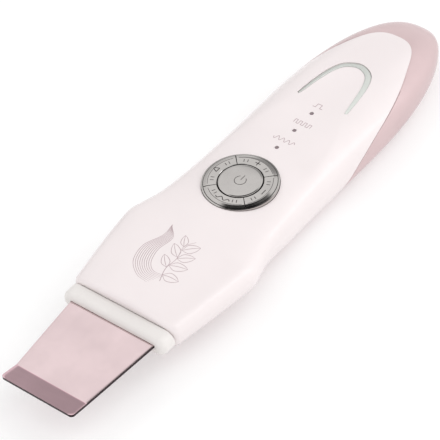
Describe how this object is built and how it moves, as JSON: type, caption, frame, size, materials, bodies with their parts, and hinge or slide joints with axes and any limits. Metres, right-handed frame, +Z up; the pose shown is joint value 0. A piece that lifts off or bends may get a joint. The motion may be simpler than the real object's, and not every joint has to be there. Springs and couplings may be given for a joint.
{
  "type": "skin_scrubber",
  "caption": "Hand-held rechargeable ultrasonic skin scrubber with a flat polished metal blade, a round ring of keys about a centre button, and a pearly two-shell handle.",
  "frame": {"origin": "on the surface that the scrubber lies on, under the middle of its overall length and width", "axes": "+X along the handle from the blade to the tail, +Y across the handle, +Z up out of the control face"},
  "size_m": [0.1992, 0.05, 0.0205],
  "materials": {
    "pearl_white": "pearly white gloss",
    "pearl_pink": "pink pearl gloss",
    "satin_silver": "satin plated trim",
    "rose_steel": "polished rose-tinted steel",
    "soft_grey": "satin",
    "chrome": "bright plated",
    "silicone": "soft silicone",
    "smoked_lens": "smoked lens",
    "steel": "machined",
    "brass": "plain",
    "ceramic": "fired ceramic",
    "circuit_board": "solder mask",
    "black_plastic": "moulded",
    "cell_film": "foil pouch",
    "foam": "foam",
    "red_wire": "insulated",
    "black_wire": "insulated",
    "yellow_wire": "insulated"
  },
  "bodies": {
    "housing": {"front_shell": "pearl_white", "rear_shell": "pearl_pink", "trim_arch": "satin_silver", "scraper_blade": "rose_steel", "blade_pin": "steel", "head_collar": "soft_grey", "control_bezel": "chrome", "key_mat": "silicone", "tact_switch_1": "black_plastic", "tact_switch_2": "black_plastic", "tact_switch_3": "black_plastic", "tact_switch_4": "black_plastic", "tact_switch_5": "black_plastic", "light_pipe_1": "smoked_lens", "light_pipe_2": "smoked_lens", "light_pipe_3": "smoked_lens", "status_led_1": "ceramic", "status_led_2": "ceramic", "status_led_3": "ceramic", "transducer_horn": "steel", "piezo_ring_1": "ceramic", "piezo_ring_2": "ceramic", "electrode_1": "brass", "electrode_2": "brass", "back_mass": "steel", "preload_bolt": "steel", "isolator_ring": "silicone", "transducer_saddle": "silicone", "main_board": "circuit_board", "board_screw_1": "steel", "board_screw_2": "steel", "step_up_transformer": "black_plastic", "controller_chip": "black_plastic", "inductor": "steel", "electrolytic_capacitor": "black_plastic", "case_screw_1": "steel", "case_screw_2": "steel", "case_screw_3": "steel", "case_screw_4": "steel", "battery_cell": "cell_film", "battery_pad": "foam", "charging_socket": "steel", "charging_board": "circuit_board", "battery_lead_red": "red_wire", "battery_lead_black": "black_wire", "socket_lead_red": "red_wire", "socket_lead_black": "black_wire", "stack_lead_1": "yellow_wire", "stack_lead_2": "yellow_wire"},
    "key_head": {"key_head": "chrome"},
    "key_tail": {"key_tail": "chrome"},
    "key_left": {"key_left": "chrome"},
    "key_right": {"key_right": "chrome"},
    "centre_button": {"centre_button": "chrome"}
  },
  "joints": [
    {"name": "head_key_press", "type": "slide", "parent": "housing", "child": "key_head", "axis": [0, 0, -1], "range_m": [0, 0.00035], "stiffness_N_per_m": 600, "springref_m": -0.0005},
    {"name": "tail_key_press", "type": "slide", "parent": "housing", "child": "key_tail", "axis": [0, 0, -1], "range_m": [0, 0.00035], "stiffness_N_per_m": 600, "springref_m": -0.0005},
    {"name": "left_key_press", "type": "slide", "parent": "housing", "child": "key_left", "axis": [0, 0, -1], "range_m": [0, 0.00035], "stiffness_N_per_m": 600, "springref_m": -0.0005},
    {"name": "right_key_press", "type": "slide", "parent": "housing", "child": "key_right", "axis": [0, 0, -1], "range_m": [0, 0.00035], "stiffness_N_per_m": 600, "springref_m": -0.0005},
    {"name": "centre_button_press", "type": "slide", "parent": "housing", "child": "centre_button", "axis": [0, 0, -1], "range_m": [0, 0.00035], "stiffness_N_per_m": 600, "springref_m": -0.0005}
  ]
}
